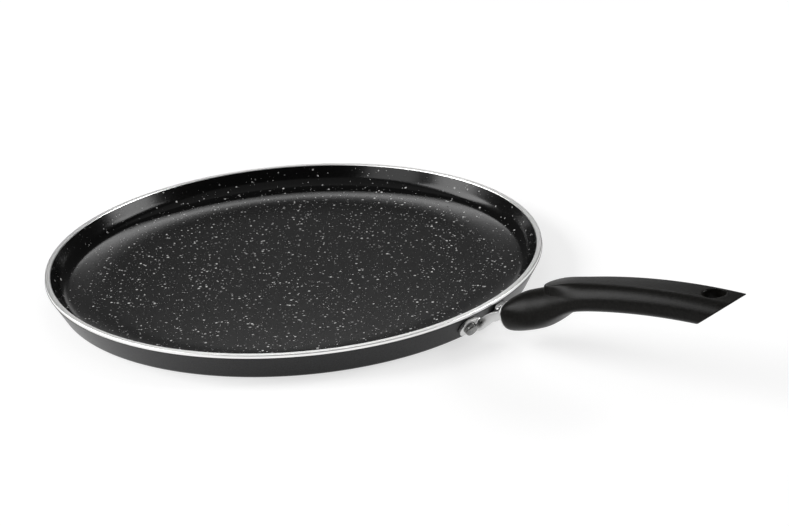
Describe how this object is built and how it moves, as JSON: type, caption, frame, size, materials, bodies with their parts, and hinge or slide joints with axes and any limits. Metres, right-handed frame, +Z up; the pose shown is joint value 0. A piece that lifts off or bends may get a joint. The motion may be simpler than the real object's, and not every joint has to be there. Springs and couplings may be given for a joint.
{
  "type": "tawa",
  "caption": "Flat round non-stick griddle pan with a low flared wall, a bare rim and a riveted, moulded stick handle with a hang hole.",
  "frame": {"origin": "centre of the pan's flat base, on its underside", "axes": "+Z up, square to the base; +X along the handle, away from the pan"},
  "size_m": [0.4389, 0.2804, 0.0578],
  "materials": {
    "aluminium": "turned, bare",
    "nonstick": "satin, with fine pale speckles",
    "enamel": "satin, finely mottled",
    "rivet": "polished",
    "phenolic": "satin moulded",
    "steel": "polished",
    "brass": "turned"
  },
  "bodies": {
    "root": {"pan_body": "aluminium", "nonstick_coating": "nonstick", "exterior_enamel": "enamel", "rivet_right": "rivet", "rivet_left": "rivet", "handle_grip": "phenolic", "flame_guard": "steel", "lock_washer": "steel", "handle_screw": "steel", "threaded_insert": "brass", "handle_bracket": "steel"}
  },
  "joints": []
}
